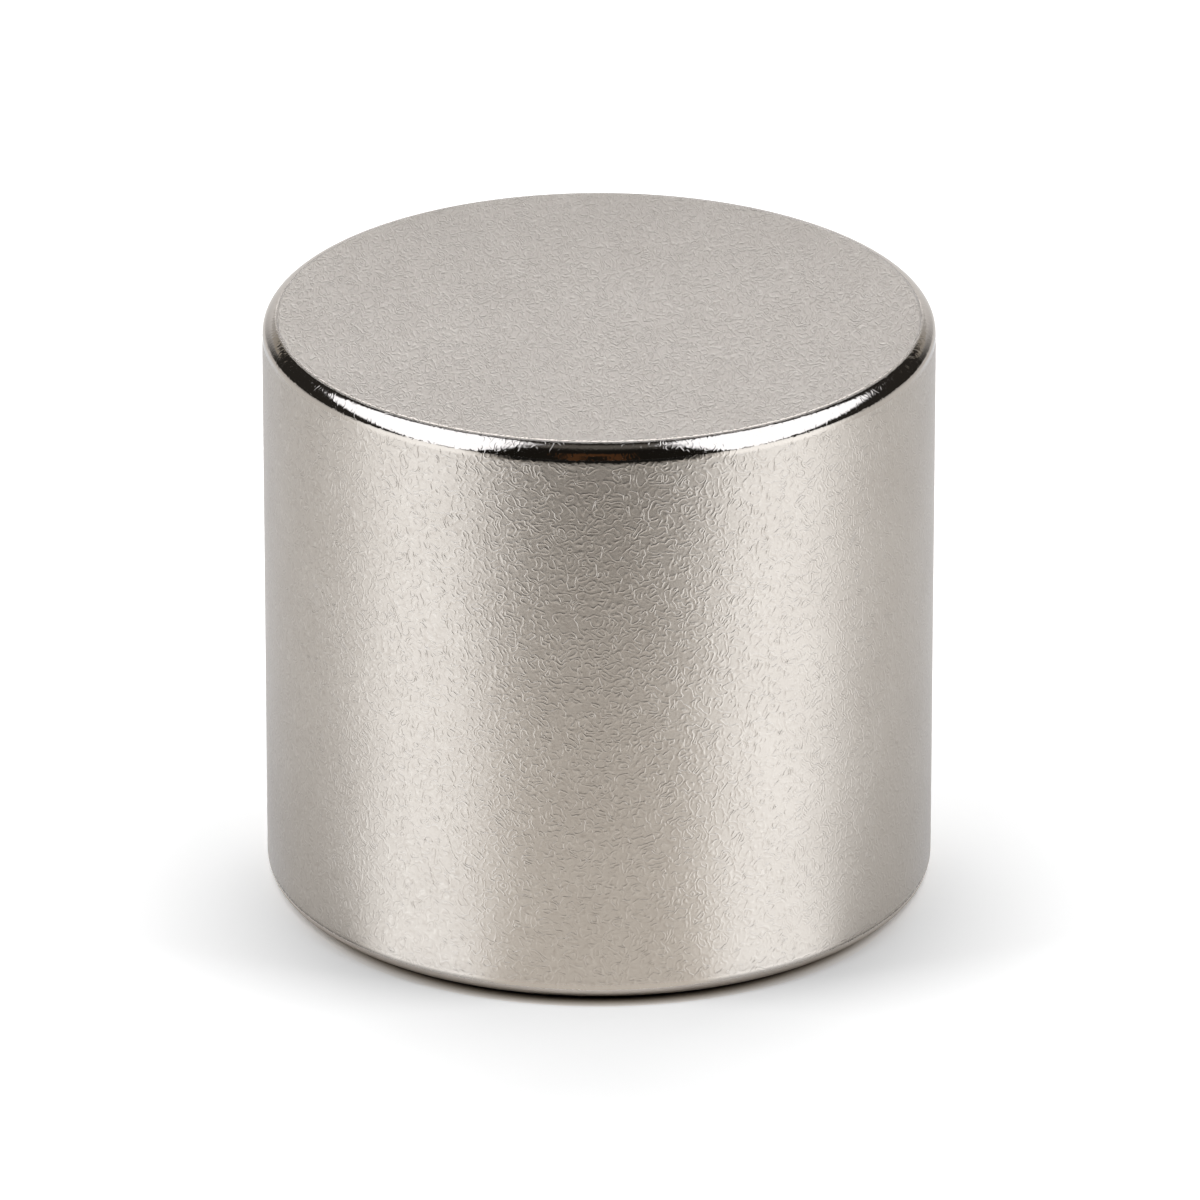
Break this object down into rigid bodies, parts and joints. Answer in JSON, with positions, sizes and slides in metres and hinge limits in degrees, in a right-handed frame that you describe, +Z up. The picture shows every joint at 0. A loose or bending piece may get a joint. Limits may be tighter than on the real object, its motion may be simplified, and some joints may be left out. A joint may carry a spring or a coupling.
{
  "type": "cylinder magnet",
  "caption": "Solid upright cylinder magnet with two flat pole faces and small rounded rims, plated all over.",
  "frame": {"origin": "middle of the bottom pole face, which the magnet stands on", "axes": "+Z up the cylinder's axis, from the bottom pole face to the top one; X and Y are any two directions across it"},
  "size_m": [0.045, 0.045, 0.04],
  "materials": {
    "nickel_plate": "satin nickel plate, bright on the rounded rims"
  },
  "bodies": {
    "root": {"magnet_body": "nickel_plate"}
  },
  "joints": []
}
